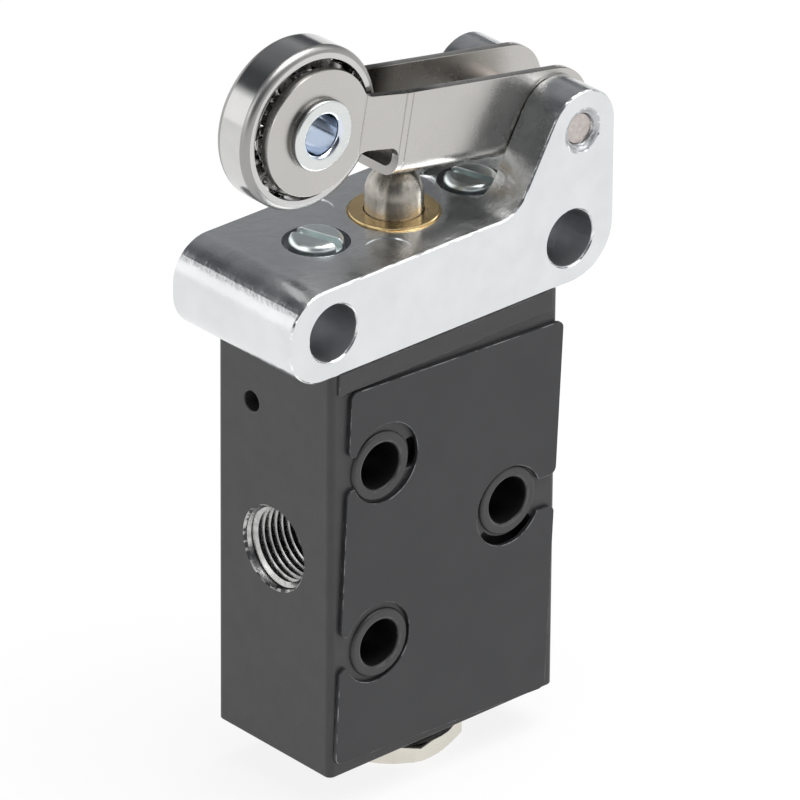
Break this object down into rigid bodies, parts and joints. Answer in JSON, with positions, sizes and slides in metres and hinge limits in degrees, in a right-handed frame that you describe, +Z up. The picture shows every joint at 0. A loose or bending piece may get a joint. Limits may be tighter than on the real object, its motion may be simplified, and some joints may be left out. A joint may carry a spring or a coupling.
{
  "type": "roller lever air valve",
  "caption": "Compact spool valve for compressed air with a pivoted channel lever, a ball bearing roller, a domed plunger, tapped side ports and through mounting holes.",
  "frame": {"origin": "on the spool axis, in the flat end of the hexagonal cap", "axes": "+Z up the spool axis towards the plunger, the roller end towards -X, the label face towards -Y"},
  "size_m": [0.0483, 0.0197, 0.0907],
  "materials": {
    "black_coat": "satin black coat on a die casting",
    "label_black": "satin black plate",
    "cast_zinc": "bright as-cast, faintly uneven",
    "nickel_plate": "satin nickel plate",
    "seal_rubber": "matt",
    "spring_steel": "drawn wire",
    "spool_alloy": "ground",
    "brass": "turned",
    "blue_zinc": "blue zinc plate",
    "plunger_steel": "turned and polished dome",
    "pin_steel": "sawn end",
    "lever_steel": "satin pressed sheet",
    "bearing_steel": "ground and polished",
    "cage_steel": "pressed sheet"
  },
  "bodies": {
    "valve": {"body": "black_coat", "label_plate": "label_black", "end_cap": "nickel_plate", "cap_washer": "seal_rubber", "return_spring": "spring_steel", "spool_seal_1": "seal_rubber", "spool_seal_2": "seal_rubber", "spool_seal_3": "seal_rubber", "spool_seal_4": "seal_rubber", "spacer_cage_1": "brass", "spacer_cage_2": "brass", "spacer_cage_3": "brass", "top_guide": "brass", "head": "cast_zinc", "head_screws": "blue_zinc", "guide_bush": "brass", "pivot_pin": "pin_steel"},
    "lever": {"lever": "lever_steel", "roller_rivet": "blue_zinc", "bearing_inner_ring": "bearing_steel"},
    "roller": {"bearing_outer_ring": "bearing_steel"},
    "ball_set": {"bearing_balls": "bearing_steel", "bearing_cage": "cage_steel"},
    "plunger": {"plunger": "plunger_steel", "spool": "spool_alloy"}
  },
  "joints": [
    {"name": "lever_hinge", "type": "hinge", "parent": "valve", "child": "lever", "pos_m": [0.01895, 0, 0.0731], "axis": [0, -1, 0], "range_deg": [0, 8], "stiffness_Nm_per_rad": 0.5, "springref_deg": -20.97},
    {"name": "plunger_slide", "type": "slide", "parent": "valve", "child": "plunger", "axis": [0, 0, -1], "range_m": [0, 0.0026], "deforming": ["return_spring"]},
    {"name": "roller_spin", "type": "hinge", "parent": "lever", "child": "roller", "pos_m": [-0.01423, 0, 0.08122], "axis": [0, 1, 0], "continuous": true},
    {"name": "ball_set_spin", "type": "hinge", "parent": "lever", "child": "ball_set", "pos_m": [-0.01423, 0, 0.08122], "axis": [0, 1, 0], "continuous": true}
  ],
  "couplings": [
    {"joint": "plunger_slide", "follows": "lever_hinge", "m_per_rad": 0.01804},
    {"joint": "ball_set_spin", "follows": "roller_spin", "ratio": 0.5847}
  ]
}
